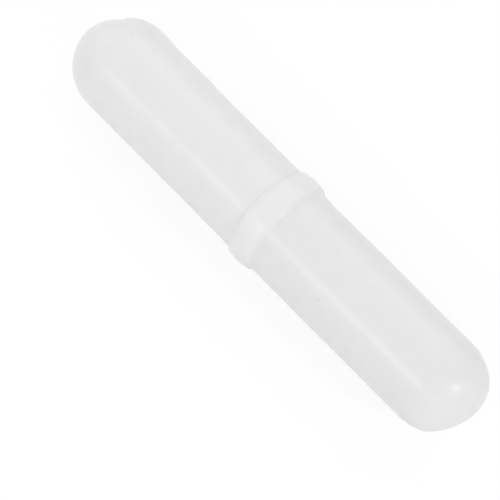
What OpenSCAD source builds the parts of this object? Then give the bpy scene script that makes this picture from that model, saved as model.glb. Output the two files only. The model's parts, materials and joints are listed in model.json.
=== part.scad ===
// Magnetic stir bar: a round-ended rod of white plastic with a raised pivot ring
// moulded round its middle, closed over a rod magnet.
// The bar's axis runs along X. The origin is at the bar's centre.

/* [Bar] */
// Overall length of the bar, over its two round ends
bar_length = 54.5; // [40:0.5:80]
// Diameter of the plain barrel; each end is a hemisphere of this diameter
barrel_d = 10; // [8:0.5:14]

/* [Pivot ring] */
// How far the ring stands out from the barrel
ring_height = 0.4; // [0.2:0.05:0.8]
// Width of the ring along the bar, from foot to foot
ring_width = 3; // [2.5:0.1:6]
// Slope of the ring's two flanks: how far they rise ...
flank_rise = 4; // [3:1:12]
// ... for this much run along the bar; 0 makes them stand straight up
flank_run = 3; // [0:1:4]
// Radius of the rounded shoulder at the top of each flank
shoulder_r = 0.3; // [0.1:0.05:0.4]
// Radius of the hollow fillet at the foot of each flank
root_r = 0.2; // [0.1:0.05:0.4]

/* [Magnet] */
// Thickness of plastic round the magnet's side
side_wall = 2; // [0.8:0.1:2.5]
// Thickness of plastic beyond each end of the magnet, out to the tip of the bar
end_wall = 5; // [3:0.5:8]
// Gap left all round the magnet inside the plastic
core_gap = 0.02; // [0.01:0.01:0.1]
// Chamfer on both rims of the magnet
magnet_chamfer = 0.4; // [0.2:0.1:1]

/* [Hidden] */

barrel_r = barrel_d / 2;
straight_half = bar_length / 2 - barrel_r;

// Each flank is a straight slope between two arcs that run smoothly into it.
// Where the ring is too low to hold both arcs, they shrink together.
flank_normal = [flank_run, flank_rise] / norm([flank_run, flank_rise]);
arc_rise = (shoulder_r + root_r) * (1 - flank_normal.x);
arc_fit = min(1, ring_height / arc_rise);
shoulder_arc_r = shoulder_r * arc_fit;
root_arc_r = root_r * arc_fit;
slope_rise = ring_height - arc_rise * arc_fit;
flank_width = (shoulder_arc_r + root_arc_r) * flank_normal.y + slope_rise * flank_run / flank_rise;

ring_r = barrel_r + ring_height;
ring_half = ring_width / 2;
land_half = ring_half - flank_width;

cavity_r = barrel_r - side_wall;
cavity_half = bar_length / 2 - end_wall;

body_facets = 64;
arc_facets = 32;

// The two sections below have the radius along x and the bar's axis along y.

// Half of the plain bar: the straight barrel and the quarter disc that turns into a round end
module bar_section() {
    square([barrel_r, straight_half]);
    translate([0, straight_half])
        intersection() {
            circle(r = barrel_r, $fn = body_facets);
            square(barrel_r);
        }
}

// Half of the ring, from its middle plane to the foot of one flank.
// The slope touches the shoulder arc at slope_top and the root arc at slope_foot.
module ring_section() {
    shoulder = [ring_r - shoulder_arc_r, land_half];
    root = [barrel_r + root_arc_r, ring_half];
    slope_top = shoulder + shoulder_arc_r * flank_normal;
    slope_foot = root - root_arc_r * flank_normal;
    square([ring_r, land_half]);
    difference() {
        polygon([[0, 0], [shoulder.x, 0], shoulder, slope_top, slope_foot, root, [0, ring_half]]);
        translate(root)
            circle(r = root_arc_r, $fn = arc_facets);
    }
    translate(shoulder)
        intersection() {
            circle(r = shoulder_arc_r, $fn = arc_facets);
            square(shoulder_arc_r);
        }
}

// A round rod along X with both rims chamfered
module chamfered_rod(radius, half_length) {
    rotate([0, 90, 0])
        rotate_extrude($fn = body_facets)
            polygon([
                [0, -half_length],
                [radius - magnet_chamfer, -half_length],
                [radius, magnet_chamfer - half_length],
                [radius, half_length - magnet_chamfer],
                [radius - magnet_chamfer, half_length],
                [0, half_length]
            ]);
}

// Plastic body: barrel, round ends and pivot ring in one moulding, hollow for the magnet
module sheath() {
    color("whitesmoke")
        difference() {
            rotate([0, 90, 0])
                rotate_extrude($fn = body_facets)
                    for (side = [0, 1])
                        mirror([0, side]) {
                            bar_section();
                            ring_section();
                        }
            chamfered_rod(cavity_r, cavity_half);
        }
}

// Rod magnet, sealed inside the plastic
module magnet() {
    color("dimgray")
        chamfered_rod(cavity_r - core_gap, cavity_half - core_gap);
}

sheath();
magnet();
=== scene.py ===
# A magnetic stir bar lying on a pale floor: white plastic moulded over a rod magnet.
# All in metres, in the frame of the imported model, where the bar's axis is X.
import json
import math
import bpy
import numpy as np
from mathutils import Matrix, Vector


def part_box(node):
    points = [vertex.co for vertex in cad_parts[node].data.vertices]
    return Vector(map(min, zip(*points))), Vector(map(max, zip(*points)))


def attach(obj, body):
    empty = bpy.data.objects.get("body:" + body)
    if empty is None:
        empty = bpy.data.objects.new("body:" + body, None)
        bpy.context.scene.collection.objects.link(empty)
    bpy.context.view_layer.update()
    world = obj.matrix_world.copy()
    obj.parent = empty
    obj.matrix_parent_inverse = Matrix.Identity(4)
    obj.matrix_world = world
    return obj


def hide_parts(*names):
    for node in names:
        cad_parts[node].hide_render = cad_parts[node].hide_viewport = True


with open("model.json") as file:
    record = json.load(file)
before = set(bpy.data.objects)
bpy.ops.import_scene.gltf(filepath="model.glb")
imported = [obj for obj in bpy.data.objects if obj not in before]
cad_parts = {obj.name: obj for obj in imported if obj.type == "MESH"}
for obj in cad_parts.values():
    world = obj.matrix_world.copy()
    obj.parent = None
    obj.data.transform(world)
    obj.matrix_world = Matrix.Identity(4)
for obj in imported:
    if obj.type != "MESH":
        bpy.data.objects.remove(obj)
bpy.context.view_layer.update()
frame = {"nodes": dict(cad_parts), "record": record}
scene = bpy.context.scene
mm = 0.001
tiny = 1e-12  # keeps a division from being by zero

# Sizes that the frame already holds
mounts = {mount["name"]: mount["dims"] for mount in frame["record"]["mounts"]}
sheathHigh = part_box("sheath")[1]
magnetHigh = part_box("magnet")[1]
barrelRadius = mounts["barrel_front"]["r_mm"] * mm
ringRadius = mounts["ring_rim"]["r_mm"] * mm
straightHalf = sheathHigh.x - barrelRadius
ringHalf = straightHalf - mounts["barrel_front"]["length_mm"] * mm
print("frame loaded: bar", round(sheathHigh.x * 2 / mm, 2), "mm long")


# Links a socket to another one, or sets its value
def feed(tree, socket, value):
    if isinstance(value, bpy.types.NodeSocket):
        tree.links.new(value, socket)
    else:
        socket.default_value = value


def addNode(tree, kind, inputs=None, **settings):
    node = tree.nodes.new(kind)
    for name, value in settings.items():
        setattr(node, name, value)
    for name, value in (inputs or {}).items():
        feed(tree, node.inputs[name], value)
    return node


def addMath(tree, operation, first, second=0.0):
    return addNode(tree, "ShaderNodeMath", {0: first, 1: second}, operation=operation).outputs[0]


# Runs smoothly from fromValue to toValue as value goes from low to high
def addRamp(tree, value, low, high, fromValue=0.0, toValue=1.0):
    inputs = {"Value": value, "From Min": low, "From Max": high, "To Min": fromValue, "To Max": toValue}
    return addNode(tree, "ShaderNodeMapRange", inputs, interpolation_type="SMOOTHSTEP").outputs[0]


# Sockets 6 and 7 are the node's two colours
def addMix(tree, share, first, second, blend="MIX"):
    inputs = {0: share, 6: first, 7: second}
    return addNode(tree, "ShaderNodeMix", inputs, data_type="RGBA", blend_type=blend).outputs[2]


def grey(level):
    return (level, level, level, 1.0)


def newGroup(name, inputs, outputs):
    group = bpy.data.node_groups.new(name, "ShaderNodeTree")
    for label, kind, value in inputs:
        socket = group.interface.new_socket(label, in_out="INPUT", socket_type=kind)
        if value is not None:
            socket.default_value = value
    for label, kind in outputs:
        group.interface.new_socket(label, in_out="OUTPUT", socket_type=kind)
    return group, addNode(group, "NodeGroupInput").outputs, addNode(group, "NodeGroupOutput").inputs


def useGroup(tree, group, inputs):
    return addNode(tree, "ShaderNodeGroup", inputs, node_tree=group).outputs[0]


def newTree(name):
    material = bpy.data.materials.new(name)
    material.use_nodes = True
    material.node_tree.nodes.clear()
    return material, material.node_tree


def newMaterial(name):
    material, tree = newTree(name)
    shader = addNode(tree, "ShaderNodeBsdfPrincipled")
    addNode(tree, "ShaderNodeOutputMaterial", {"Surface": shader.outputs[0]})
    return material, tree, shader


# Cloudy patches of about the given size, from 0 to 1
def buildSoftMottle():
    group, given, result = newGroup(
        "softMottle",
        [("Vector", "NodeSocketVector", None), ("Size", "NodeSocketFloat", 0.002)],
        [("Mask", "NodeSocketFloat")])
    scale = addMath(group, "DIVIDE", 1.0, given["Size"])
    noise = addNode(group, "ShaderNodeTexNoise",
                    {"Vector": given["Vector"], "Scale": scale, "Detail": 3.0, "Roughness": 0.55})
    group.links.new(addRamp(group, noise.outputs["Fac"], 0.3, 0.7), result["Mask"])
    return group


# Fine lines round the X axis, as a lathe or a grinding wheel leaves them, from 0 to 1
def buildTurnedLines():
    group, given, result = newGroup(
        "turnedLines",
        [("Vector", "NodeSocketVector", None), ("Spacing", "NodeSocketFloat", 0.0004),
         ("Wander", "NodeSocketFloat", 0.5)],
        [("Height", "NodeSocketFloat")])
    along = addNode(group, "ShaderNodeSeparateXYZ", {0: given["Vector"]}).outputs["X"]
    drift = addNode(group, "ShaderNodeTexNoise", {"Vector": given["Vector"], "Scale": 180.0, "Detail": 1.0})
    lineCount = addMath(group, "DIVIDE", along, given["Spacing"])
    shift = addMath(group, "MULTIPLY", drift.outputs["Fac"], given["Wander"])
    lines = addNode(group, "ShaderNodeTexNoise",
                    {"W": addMath(group, "ADD", lineCount, shift), "Scale": 1.0, "Detail": 2.0},
                    noise_dimensions="1D")
    group.links.new(lines.outputs["Fac"], result["Height"])
    return group


# Thin broken scratches: the borders of wavy cells, kept only in patches, from 0 to 1
def buildHairScratches():
    group, given, result = newGroup(
        "hairScratches",
        [("Vector", "NodeSocketVector", None), ("Cell", "NodeSocketFloat", 0.004),
         ("Width", "NodeSocketFloat", 0.00004), ("Share", "NodeSocketFloat", 0.4)],
        [("Mask", "NodeSocketFloat")])
    scale = addMath(group, "DIVIDE", 1.0, given["Cell"])
    cells = addNode(group, "ShaderNodeTexVoronoi", {"Vector": given["Vector"], "Scale": scale},
                    feature="DISTANCE_TO_EDGE")
    distance = addMath(group, "MULTIPLY", cells.outputs["Distance"], given["Cell"])
    line = addMath(group, "SUBTRACT", 1.0, addMath(group, "DIVIDE", distance, given["Width"]))
    patches = addNode(group, "ShaderNodeTexNoise",
                      {"Vector": given["Vector"], "Scale": scale, "Detail": 2.0})
    kept = addMath(group, "LESS_THAN", patches.outputs["Fac"], given["Share"])
    mask = addMath(group, "MULTIPLY", addMath(group, "MAXIMUM", line, 0.0), kept)
    group.links.new(mask, result["Mask"])
    return group


softMottle = buildSoftMottle()
turnedLines = buildTurnedLines()
hairScratches = buildHairScratches()


def addLinesAndScratches(tree, place, values):
    lines = useGroup(tree, turnedLines,
                     {"Vector": place, "Spacing": values["lineSpacing"], "Wander": values["lineWander"]})
    scratches = useGroup(tree, hairScratches,
                         {"Vector": place, "Cell": values["scratchCell"],
                          "Width": values["scratchWidth"], "Share": values["scratchShare"]})
    return lines, scratches


def addBump(tree, height, shader):
    bump = addNode(tree, "ShaderNodeBump", {"Height": height, "Distance": 1.0, "Strength": 1.0})
    tree.links.new(bump.outputs[0], shader.inputs["Normal"])


sheathShape = {
    "crownHeight": 0.42 * mm,       # the ring's crown above the barrel
    "crownRadius": 7.0 * mm,        # its slight rounding along the bar
    "crownHalf": 0.97 * mm,         # half its width, up to the middle of the shoulder arcs
    "ringShift": -0.19 * mm,        # how far the ring lies off the middle
    "shoulderRadius": 0.5 * mm,     # rounding at the top of the ring's flanks
    "rootRadius": 0.38 * mm,        # fillet at their foot
    "flankRise": 4,                 # the flanks rise this much ...
    "flankRun": 3,                  # ... for this much along the bar
    "coreGap": 0.02 * mm,           # between the magnet and the cavity's wall
    "coreChamfer": 0.4 * mm,
    "around": 256,                  # points round the bar
    "coreAround": 96,               # and round the cavity
    "crownSteps": 10,               # steps along each part of the profile, from here on
    "arcSteps": 10,
    "capSteps": 72,
    "barrelSteps": 56,
    "coreSteps": 40,
    "coreEndSteps": 3,
    "sharpAngle": 35,               # degrees from which an edge is sharp
}

# Uneven places of this one bar, each a ridge between two places on the skin. A place is
# (mm along the bar, degrees round it from the top). Then come its half width and height in mm.
unevenPlaces = [
    ((-25.41, 35), (-25.41, 115), 0.86, -0.43),     # flat on the -X end
    ((-26.42, 40), (-26.42, 110), 1.30, -0.13),
    ((-27.08, -105), (-27.08, -105), 6.0, -0.065),
    ((-25.20, 58), (-24.30, 36), 0.30, -0.06),      # crease that runs in from it
    ((-24.30, 36), (-22.50, 22), 0.28, -0.09),
    ((-22.00, 75), (-21.90, 75), 1.4, 0.13),
    ((-21.50, 75), (-15.50, 75), 1.2, 0.045),
    ((-2.05, -105), (-2.05, -105), 0.40, 0.09),     # beside the ring
    ((0.62, -105), (0.62, -105), 0.40, -0.14),
    ((1.60, 75), (1.90, 75), 0.50, 0.035),
    ((3.40, 75), (7.20, 75), 1.2, -0.045),
    ((26.30, 75), (26.30, 75), 2.57, 0.27),         # the +X end leans to one side
    ((26.85, -105), (26.85, -105), 1.95, -0.20),
    ((25.10, -105), (25.10, -105), 1.0, 0.12),
]

# Long low waves in the skin: mm from crest to crest along the bar, waves round it, shift, height in mm
skinWaves = [
    (13.0, 2, 0.4, 0.010),
    (7.3, 3, 1.9, 0.006),
    (4.1, 1, 3.1, 0.004),
]


# Evenly spaced points on a straight line: the start plus a share of the way to the end
def linePoints(start, end, steps):
    share = np.linspace(0, 1, steps + 1)[:, None]
    return np.array(start) + (np.array(end) - np.array(start)) * share


# Points on an arc: the centre plus radius times (cosine, sine) of an evenly growing angle
def arcPoints(centre, radius, fromAngle, toAngle, steps):
    angle = np.radians(np.linspace(fromAngle, toAngle, steps + 1))
    return np.array(centre) + radius * np.stack([np.cos(angle), np.sin(angle)], axis=1)


# Radius at which the centre of the ring's crown arc lies, below 0 when it is beyond the axis
def crownCentreRadius(shape):
    return barrelRadius + shape["crownHeight"] - shape["crownRadius"]


# Half the ring's (x, radius) points: a crown arc, a shoulder arc inside it, a straight flank
# and a root arc. The crown ends where the shoulder's centre lies crownHalf out. The root's
# centre lies where the flank's line is rootRadius away from it.
def ringProfile(shape):
    flankAngle = math.atan2(shape["flankRun"], shape["flankRise"])
    crownCentre = crownCentreRadius(shape)
    reach = shape["crownRadius"] - shape["shoulderRadius"]
    lean = math.asin(shape["crownHalf"] / reach)
    shoulder = (shape["crownHalf"], crownCentre + reach * math.cos(lean))
    across, up = math.cos(flankAngle), math.sin(flankAngle)
    flankLine = shoulder[0] * across + shoulder[1] * up + shape["shoulderRadius"]
    rootHeight = barrelRadius + shape["rootRadius"]
    rootPlace = (flankLine + shape["rootRadius"] - rootHeight * up) / across
    flank, crownEnd = math.degrees(flankAngle), 90 - math.degrees(lean)
    return np.concatenate([
        arcPoints((0, crownCentre), shape["crownRadius"], 90, crownEnd, shape["crownSteps"])[:-1],
        arcPoints(shoulder, shape["shoulderRadius"], crownEnd, flank, shape["arcSteps"]),
        arcPoints((rootPlace, rootHeight), shape["rootRadius"], 180 + flank, 270, shape["arcSteps"]),
    ])


# The skin's (x, radius) points from tip to tip: the ring, and on either side the barrel
# and a quarter circle
def skinProfile(shape):
    ring = ringProfile(shape)
    ring = np.concatenate([ring[:0:-1] * (-1, 1), ring]) + (shape["ringShift"], 0)
    halves = []
    for foot in (-ring[0, 0], ring[-1, 0]):
        halves.append(np.concatenate([
            linePoints((foot, barrelRadius), (straightHalf, barrelRadius), shape["barrelSteps"])[1:-1],
            arcPoints((straightHalf, 0), barrelRadius, 90, 0, shape["capSteps"]),
        ]))
    farHalf = halves[0][::-1] * (-1, 1)
    profile = np.concatenate([farHalf, ring, halves[1]])
    profile[[0, -1], 1] = 0
    return profile


# The cavity's (x, radius) points: a rod with both rims chamfered, a gap larger than the magnet
def cavityProfile(shape):
    radius = magnetHigh.z + shape["coreGap"]
    end = magnetHigh.x + shape["coreGap"]
    inner = radius - shape["coreChamfer"]
    shoulder = end - shape["coreChamfer"]
    return np.concatenate([
        linePoints((-end, 0), (-end, inner), shape["coreEndSteps"]),
        linePoints((-shoulder, radius), (shoulder, radius), shape["coreSteps"]),
        linePoints((end, inner), (end, 0), shape["coreEndSteps"]),
    ])


# A surface of revolution: each (x, radius) goes to (x, radius sine, radius cosine) of an even angle.
# The first and last points are poles. Returns points, quads and the triangles at the poles.
def revolve(profile, around, firstIndex=0):
    angle = np.linspace(0, 2 * np.pi, around, endpoint=False)
    grid = np.empty((len(profile) - 2, around, 3))
    grid[..., 0] = profile[1:-1, 0, None]
    grid[..., 1] = profile[1:-1, 1, None] * np.sin(angle)
    grid[..., 2] = profile[1:-1, 1, None] * np.cos(angle)
    poles = np.array([[profile[0, 0], 0, 0], [profile[-1, 0], 0, 0]])
    points = np.concatenate([poles, grid.reshape(-1, 3)])
    index = firstIndex + 2 + np.arange(grid[..., 0].size).reshape(grid.shape[:2])
    after = np.roll(index, -1, axis=1)
    quads = np.stack([index[:-1], index[1:], after[1:], after[:-1]], axis=-1).reshape(-1, 4)
    firstPole = np.stack([np.full(around, firstIndex), index[0], after[0]], axis=-1)
    lastPole = np.stack([np.full(around, firstIndex + 1), after[-1], index[-1]], axis=-1)
    return points, quads, np.concatenate([firstPole, lastPole])


# The point of the plain bar at a place (mm along, degrees round from the top)
def skinPoint(place):
    along = place[0] * mm
    capReach = max(abs(along) - straightHalf, 0)
    radius = math.sqrt(max(barrelRadius ** 2 - capReach ** 2, 0))
    angle = math.radians(place[1])
    return np.array([along, radius * math.sin(angle), radius * math.cos(angle)])


# Moves the points along the bar's own normals. Each uneven place adds
# height * exp(-(distance from its line / half width)^2), and each wave adds
# height * sin(2 pi x / length + shift) * cos(count * angle + shift), which fades towards the poles.
def unevenSkin(points, places, waves):
    core = np.clip(points[:, 0], -straightHalf, straightHalf)
    outward = points - np.stack([core, 0 * core, 0 * core], axis=1)
    outward /= np.linalg.norm(outward, axis=1)[:, None]
    lift = np.zeros(len(points))
    for start, end, halfWidth, height in places:
        first, last = skinPoint(start), skinPoint(end)
        line = last - first
        share = np.clip((points - first) @ line / max(line @ line, tiny), 0, 1)
        distance = np.linalg.norm(points - first - share[:, None] * line, axis=1)
        lift += height * mm * np.exp(-(distance / (halfWidth * mm)) ** 2)
    angle = np.arctan2(points[:, 1], points[:, 2])
    fade = np.clip(np.hypot(points[:, 1], points[:, 2]) / barrelRadius, 0, 1) ** 2
    for length, count, shift, height in waves:
        ripple = np.sin(2 * np.pi * points[:, 0] / (length * mm) + shift) * np.cos(count * angle + shift)
        lift += height * mm * fade * ripple
    return points + lift[:, None] * outward


def newPiece(name, points, faces, material):
    mesh = bpy.data.meshes.new(name)
    mesh.from_pydata(points.tolist(), [], [face for block in faces for face in block.tolist()])
    mesh.polygons.foreach_set("use_smooth", np.ones(len(mesh.polygons), dtype=bool))
    mesh.materials.append(material)
    mesh.validate()
    piece = bpy.data.objects.new(name, mesh)
    scene.collection.objects.link(piece)
    return piece


# The whites differ a little from place to place. The ring's -X flank holds painted light and its +X flank
# painted shade, for light that spreads inside the plastic; the +X end holds painted shade.
plasticFinish = {
    "farWhite": 0.801,              # barrel towards the -X end
    "nearWhite": 0.786,             # and towards the +X end
    "ringWhite": 0.822,             # the ring is lighter
    "ringRise": 0.2 * mm,           # height above the barrel where its white begins
    "tipPaintedShade": 0.772,              # painted shade: the +X end is darker
    "tipBefore": 1.0 * mm,          # the painted shade begins this far before the round end ...
    "tipAfter": 1.5 * mm,           # ... and is full this far into it
    "farFlankPaintedLight": 0.818,         # painted light on the ring's flank on the -X side
    "nearFlankPaintedShade": 0.778,        # and painted shade on the +X side
    "flankPlace": 1.38 * mm,        # how far the painted flanks lie from the ring's middle
    "flankReach": 0.4 * mm,
    "smooth": 0.288,                # roughness where the skin is glossiest
    "rough": 0.308,                 # and where it is dullest
    "patchSize": 4.5 * mm,          # size of the glossier and duller patches
    "mottle": 0.985,                # how far the cloudy patches darken it
    "cloudSize": 1.6 * mm,
    "speckWhite": 0.72,             # one small dark speck
    "speckPlace": (9.44 * mm, -3.57 * mm, 3.50 * mm),
    "speckRadius": 0.32 * mm,
    "lineHeight": 0.0006 * mm,      # fine turned lines
    "lineSpacing": 0.35 * mm,
    "lineWander": 0.6,              # how far they bend, in spacings
    "peelHeight": 0.0035 * mm,      # faint orange peel
    "peelScale": 450.0,             # its bumps to the metre
    "scratchDepth": 0.0004 * mm,    # thin broken scratches
    "scratchCell": 5.0 * mm,        # size of the cells that they run round
    "scratchWidth": 0.05 * mm,
    "scratchShare": 0.42,
    "ior": 1.35,
    "inwardWeight": 0.10,           # share of the light that spreads inside
    "inwardReach": 0.4 * mm,        # and how far
}


# White PTFE: satin, waxy and a little translucent, faintly cloudy, with fine turned lines
def buildPlastic(values):
    material, tree, shader = newMaterial("mouldedPtfe")
    place = addNode(tree, "ShaderNodeTexCoord").outputs["Object"]
    radial = addNode(tree, "ShaderNodeVectorMath", {0: place, 1: (0, 1, 1)}, operation="MULTIPLY")
    fromAxis = addNode(tree, "ShaderNodeVectorMath", {0: radial.outputs[0]}, operation="LENGTH")
    radius = fromAxis.outputs["Value"]
    along = addNode(tree, "ShaderNodeSeparateXYZ", {0: place}).outputs["X"]

    # the two halves and the ring differ slightly in whiteness, with painted light and shade on the ring's
    # flanks and painted shade on the +X end
    nearHalf = addRamp(tree, along, -ringHalf, ringHalf)
    colour = addMix(tree, nearHalf, grey(values["farWhite"]), grey(values["nearWhite"]))
    onRing = addRamp(tree, radius, barrelRadius + values["ringRise"], ringRadius)
    colour = addMix(tree, onRing, colour, grey(values["ringWhite"]))
    # painted light on the -X flank, painted shade on the +X flank
    for side, white in ((-1, values["farFlankPaintedLight"]), (1, values["nearFlankPaintedShade"])):
        flank = sheathShape["ringShift"] + side * values["flankPlace"]
        fromFlank = addMath(tree, "ABSOLUTE", addMath(tree, "SUBTRACT", along, flank))
        flankPaint = addRamp(tree, fromFlank, 0.0, values["flankReach"], 1.0, 0.0)
        colour = addMix(tree, flankPaint, colour, grey(white))
    # painted shade on the +X end
    shadedTip = addRamp(tree, along, straightHalf - values["tipBefore"], straightHalf + values["tipAfter"])
    colour = addMix(tree, shadedTip, colour, grey(values["tipPaintedShade"]))

    clouds = useGroup(tree, softMottle, {"Vector": place, "Size": values["cloudSize"]})
    colour = addMix(tree, clouds, colour, addMix(tree, 1.0, colour, grey(values["mottle"]), "MULTIPLY"))
    fromSpeck = addNode(tree, "ShaderNodeVectorMath", {0: place, 1: values["speckPlace"]},
                        operation="DISTANCE").outputs["Value"]
    speck = addRamp(tree, fromSpeck, 0.0, values["speckRadius"], 1.0, 0.0)
    colour = addMix(tree, speck, colour, grey(values["speckWhite"]))
    tree.links.new(colour, shader.inputs["Base Color"])

    patches = useGroup(tree, softMottle, {"Vector": place, "Size": values["patchSize"]})
    roughness = addRamp(tree, patches, 0.0, 1.0, values["smooth"], values["rough"])
    tree.links.new(roughness, shader.inputs["Roughness"])

    lines, scratches = addLinesAndScratches(tree, place, values)
    peel = addNode(tree, "ShaderNodeTexNoise",
                   {"Vector": place, "Scale": values["peelScale"], "Detail": 2.0})
    height = addMath(tree, "MULTIPLY", lines, values["lineHeight"])
    height = addMath(tree, "ADD", height,
                     addMath(tree, "MULTIPLY", peel.outputs["Fac"], values["peelHeight"]))
    height = addMath(tree, "SUBTRACT", height, addMath(tree, "MULTIPLY", scratches, values["scratchDepth"]))
    addBump(tree, height, shader)

    shader.inputs["IOR"].default_value = values["ior"]
    shader.subsurface_method = "BURLEY"
    shader.inputs["Subsurface Weight"].default_value = values["inwardWeight"]
    shader.inputs["Subsurface Radius"].default_value = (1.0, 1.0, 1.0)
    shader.inputs["Subsurface Scale"].default_value = values["inwardReach"]
    return material


def buildSheath(shape, material):
    skin, skinQuads, skinFans = revolve(skinProfile(shape), shape["around"])
    skin = unevenSkin(skin, unevenPlaces, skinWaves)
    wall, wallQuads, wallFans = revolve(cavityProfile(shape), shape["coreAround"], len(skin))
    faces = [skinQuads, skinFans, wallQuads[:, ::-1], wallFans[:, ::-1]]
    sheath = newPiece("sheathSkin", np.concatenate([skin, wall]), faces, material)
    sheath.data.set_sharp_from_angle(angle=math.radians(shape["sharpAngle"]))
    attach(sheath, "root")
    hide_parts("sheath")
    return sheath


plastic = buildPlastic(plasticFinish)
sheath = buildSheath(sheathShape, plastic)
print("sheath built:", len(sheath.data.polygons), "faces")


magnetFinish = {
    "ground": 0.34,                 # grey of the ground metal
    "dull": 0.24,                   # in its duller patches
    "pit": 0.10,                    # and in the pits
    "cloudSize": 2.2 * mm,
    "smooth": 0.36,                 # roughness where it is glossiest
    "rough": 0.52,                  # and where it is dullest
    "lineHeight": 0.0025 * mm,
    "lineSpacing": 0.12 * mm,
    "lineWander": 0.3,
    "lineShade": 0.35,              # how far the lines dull the metal
    "scratchDepth": 0.004 * mm,
    "scratchCell": 3.5 * mm,
    "scratchWidth": 0.04 * mm,
    "scratchShare": 0.5,
    "pitDepth": 0.02 * mm,
    "grainScale": 900.0,            # grains to the metre, with a pit in the middle of each
    "pitInner": 0.05,               # a pit is full up to this share of its grain ...
    "pitOuter": 0.14,               # ... and ends at this one
}


# Cast magnet alloy, ground round: dull grey metal with grinding lines, scratches and casting pits
def buildMagnetMetal(values):
    material, tree, shader = newMaterial("groundMagnetAlloy")
    place = addNode(tree, "ShaderNodeTexCoord").outputs["Object"]
    clouds = useGroup(tree, softMottle, {"Vector": place, "Size": values["cloudSize"]})
    lines, scratches = addLinesAndScratches(tree, place, values)
    grains = addNode(tree, "ShaderNodeTexVoronoi",
                     {"Vector": place, "Scale": values["grainScale"]}, feature="F1")
    pits = addRamp(tree, grains.outputs["Distance"], values["pitInner"], values["pitOuter"], 1.0, 0.0)
    colour = addMix(tree, clouds, grey(values["dull"]), grey(values["ground"]))
    lineMask = addMath(tree, "MULTIPLY", lines, values["lineShade"])
    colour = addMix(tree, lineMask, colour, grey(values["dull"]))
    colour = addMix(tree, pits, colour, grey(values["pit"]))
    tree.links.new(colour, shader.inputs["Base Color"])
    roughness = addRamp(tree, clouds, 0.0, 1.0, values["smooth"], values["rough"])
    tree.links.new(roughness, shader.inputs["Roughness"])
    height = addMath(tree, "MULTIPLY", lines, values["lineHeight"])
    height = addMath(tree, "SUBTRACT", height, addMath(tree, "MULTIPLY", scratches, values["scratchDepth"]))
    height = addMath(tree, "SUBTRACT", height, addMath(tree, "MULTIPLY", pits, values["pitDepth"]))
    addBump(tree, height, shader)
    shader.inputs["Metallic"].default_value = 1.0
    return material


magnet = frame["nodes"]["magnet"]
magnet.data.materials.clear()
magnet.data.materials.append(buildMagnetMetal(magnetFinish))
print("magnet finished")


floorLook = {
    "white": 0.80,                  # colour that lights the underside of the bar
    "seenWhite": 0.20,              # colour where it is seen directly, for a faint shadow
    "lift": 0.815,                  # added there, so that only the shadow is below white
    "mirroredLift": 0.22,           # added where it is seen in a reflection or through glass
    "gap": 0.02 * mm,               # left under the bar, so that the two surfaces don't cross
    "reach": 1.5,                   # metres from its middle to its edges
    "steps": 40,
}


# Pale paper, which lights the bar from below and gives some light of its own where it is seen
def buildPaper(values):
    material, tree = newTree("paleFloor")
    path = addNode(tree, "ShaderNodeLightPath").outputs
    mirrored = addMath(tree, "MAXIMUM", path["Is Glossy Ray"], path["Is Transmission Ray"])
    strength = addMath(tree, "ADD", addMath(tree, "MULTIPLY", path["Is Camera Ray"], values["lift"]),
                       addMath(tree, "MULTIPLY", mirrored, values["mirroredLift"]))
    shade = addMix(tree, path["Is Camera Ray"], grey(values["white"]), grey(values["seenWhite"]))
    paper = addNode(tree, "ShaderNodeBsdfDiffuse", {"Color": shade})
    lift = addNode(tree, "ShaderNodeEmission", {"Color": grey(1.0), "Strength": strength})
    both = addNode(tree, "ShaderNodeAddShader", {0: paper.outputs[0], 1: lift.outputs[0]})
    addNode(tree, "ShaderNodeOutputMaterial", {"Surface": both.outputs[0]})
    return material


# Slope of the floor along the bar, which rests on the ring's crown and on its +X end. It is the
# angle whose sine is (difference of the two radii) / (distance of their centres), less the slope
# between the centres.
def restSlope(shape):
    run = straightHalf - shape["ringShift"]
    rise = -crownCentreRadius(shape)
    growth = shape["crownRadius"] - barrelRadius
    return math.asin(growth / math.hypot(run, rise)) - math.atan2(rise, run)


# A flat square: x and y run evenly, and z = (x sine - depth) / cosine of the slope, where depth
# is the distance from the bar's centre to the line that touches the crown
def buildFloor(values, shape):
    slope = restSlope(shape)
    crownCentre = crownCentreRadius(shape)
    depth = (shape["ringShift"] * math.sin(slope) + crownCentre * math.cos(slope)
             + shape["crownRadius"] + values["gap"])
    side = np.linspace(-values["reach"], values["reach"], values["steps"] + 1)
    x, y = np.meshgrid(side, side, indexing="ij")
    z = (x * math.sin(slope) - depth) / math.cos(slope)
    index = np.arange(x.size).reshape(x.shape)
    quads = np.stack([index[:-1, :-1], index[1:, :-1], index[1:, 1:], index[:-1, 1:]], axis=-1)
    points = np.stack([x, y, z], axis=-1).reshape(-1, 3)
    floor = newPiece("floor", points, [quads.reshape(-1, 4)], buildPaper(values))
    return floor


# 1 for rays that show a background: from the camera, off a glossy surface or through glass
def addSeenBackground(tree):
    path = addNode(tree, "ShaderNodeLightPath").outputs
    shown = addMath(tree, "MAXIMUM", path["Is Camera Ray"], path["Is Glossy Ray"])
    return addMath(tree, "MAXIMUM", shown, path["Is Transmission Ray"])


worldLook = {
    "tentDim": 0.229,               # strength of the soft light from all round, at the -X side
    "tentBright": 0.565,            # and at the +X side
    "seen": 1.0,                    # strength where it is seen directly or in a reflection
}


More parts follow.
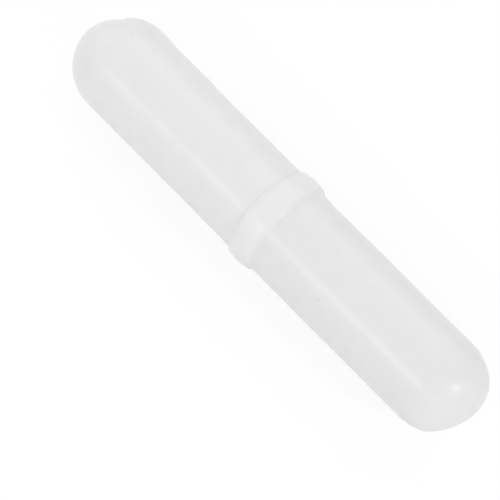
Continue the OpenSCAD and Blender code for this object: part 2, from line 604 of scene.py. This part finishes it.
def buildWorld(values):
    world = bpy.data.worlds.new("softTent")
    world.use_nodes = True
    tree = world.node_tree
    tree.nodes.clear()
    direction = addNode(tree, "ShaderNodeTexCoord").outputs["Generated"]
    towardsEnd = addNode(tree, "ShaderNodeSeparateXYZ", {0: direction}).outputs["X"]
    middle = (values["tentBright"] + values["tentDim"]) / 2
    spread = (values["tentBright"] - values["tentDim"]) / 2
    strength = addMath(tree, "ADD", addMath(tree, "MULTIPLY", towardsEnd, spread), middle)
    tent = addNode(tree, "ShaderNodeBackground", {"Color": grey(1.0), "Strength": strength})
    white = addNode(tree, "ShaderNodeBackground", {"Color": grey(1.0), "Strength": values["seen"]})
    mixed = addNode(tree, "ShaderNodeMixShader",
                    {0: addSeenBackground(tree), 1: tent.outputs[0], 2: white.outputs[0]})
    addNode(tree, "ShaderNodeOutputWorld", {"Surface": mixed.outputs[0]})
    scene.world = world


# Each lamp is an oval panel: where it stands from the bar, its two widths in degrees, its brightness
lampLook = {
    "keyLamp": {"towards": (-0.125, -0.747, 0.646), "wide": 20.5, "high": 6, "radiance": 14.65},
    "endLamp": {"towards": (0.818, 0.137, 0.524), "wide": 6, "high": 6, "radiance": 69.0},
    "frontPanel": {"towards": (0.525, -0.525, 0.669), "wide": 75, "high": 75, "radiance": 0.575},
    "lowFrontPanel": {"towards": (0.0, -0.97, 0.24), "wide": 60, "high": 20, "radiance": 0.60},
    "lowEndPanel": {"towards": (0.72, -0.64, 0.27), "wide": 50, "high": 20, "radiance": 0.32},
    "backPanel": {"towards": (-0.10, 0.77, 0.64), "wide": 60, "high": 36, "radiance": 1.33},
    "lowBackPanel": {"towards": (0.0, 0.97, 0.24), "wide": 60, "high": 20, "radiance": 0.46},
    "sidePanel": {"towards": (-0.79, 0.48, 0.38), "wide": 50, "high": 50, "radiance": 0.88},
    "lowSidePanel": {"towards": (-0.95, -0.2, 0.30), "wide": 70, "high": 36, "radiance": 1.30},
}
lampDistance = 1.2  # metres from the bar's middle


def buildLamp(name, values):
    light = bpy.data.lights.new(name, "AREA")
    light.shape = "ELLIPSE"
    light.size = 2 * lampDistance * math.tan(math.radians(values["wide"] / 2))
    light.size_y = 2 * lampDistance * math.tan(math.radians(values["high"] / 2))
    # watts: the radiance times pi times the oval's area
    light.energy = values["radiance"] * math.pi * (math.pi / 4) * light.size * light.size_y
    lamp = bpy.data.objects.new(name, light)
    scene.collection.objects.link(lamp)
    away = Vector(values["towards"]).normalized()
    lamp.location = away * lampDistance
    lamp.rotation_euler = away.to_track_quat("Z", "Y").to_euler()


cameraLook = {
    "azimuth": 47.04,
    "elevation": 69.29,
    "distance": 777.35 * mm,
    "aside": -2.713 * mm,           # how far the camera stands right of the bar's middle
    "above": -2.718 * mm,           # and above it, in its own view
    "lens": 576.0,
    "sensor": 36.0,
    "nearest": 0.01,                # metres, nothing nearer is seen
}


def buildCamera(values):
    azimuth = math.radians(values["azimuth"])
    elevation = math.radians(values["elevation"])
    right = Vector((math.cos(azimuth), math.sin(azimuth), 0))
    back = Vector((math.sin(azimuth) * math.cos(elevation),
                   -math.cos(azimuth) * math.cos(elevation), math.sin(elevation)))
    up = back.cross(right)
    data = bpy.data.cameras.new("camera")
    data.sensor_width = values["sensor"]
    data.lens = values["lens"]
    data.clip_start = values["nearest"]
    camera = bpy.data.objects.new("camera", data)
    scene.collection.objects.link(camera)
    place = values["distance"] * back + values["aside"] * right + values["above"] * up
    turned = Matrix((right, up, back)).transposed().to_4x4()
    camera.matrix_world = Matrix.Translation(place) @ turned
    scene.camera = camera


buildFloor(floorLook, sheathShape)
buildWorld(worldLook)
for lampName, lampValues in lampLook.items():
    buildLamp(lampName, lampValues)
buildCamera(cameraLook)
scene.view_settings.view_transform = "Standard"
print("floor, light and camera in place")
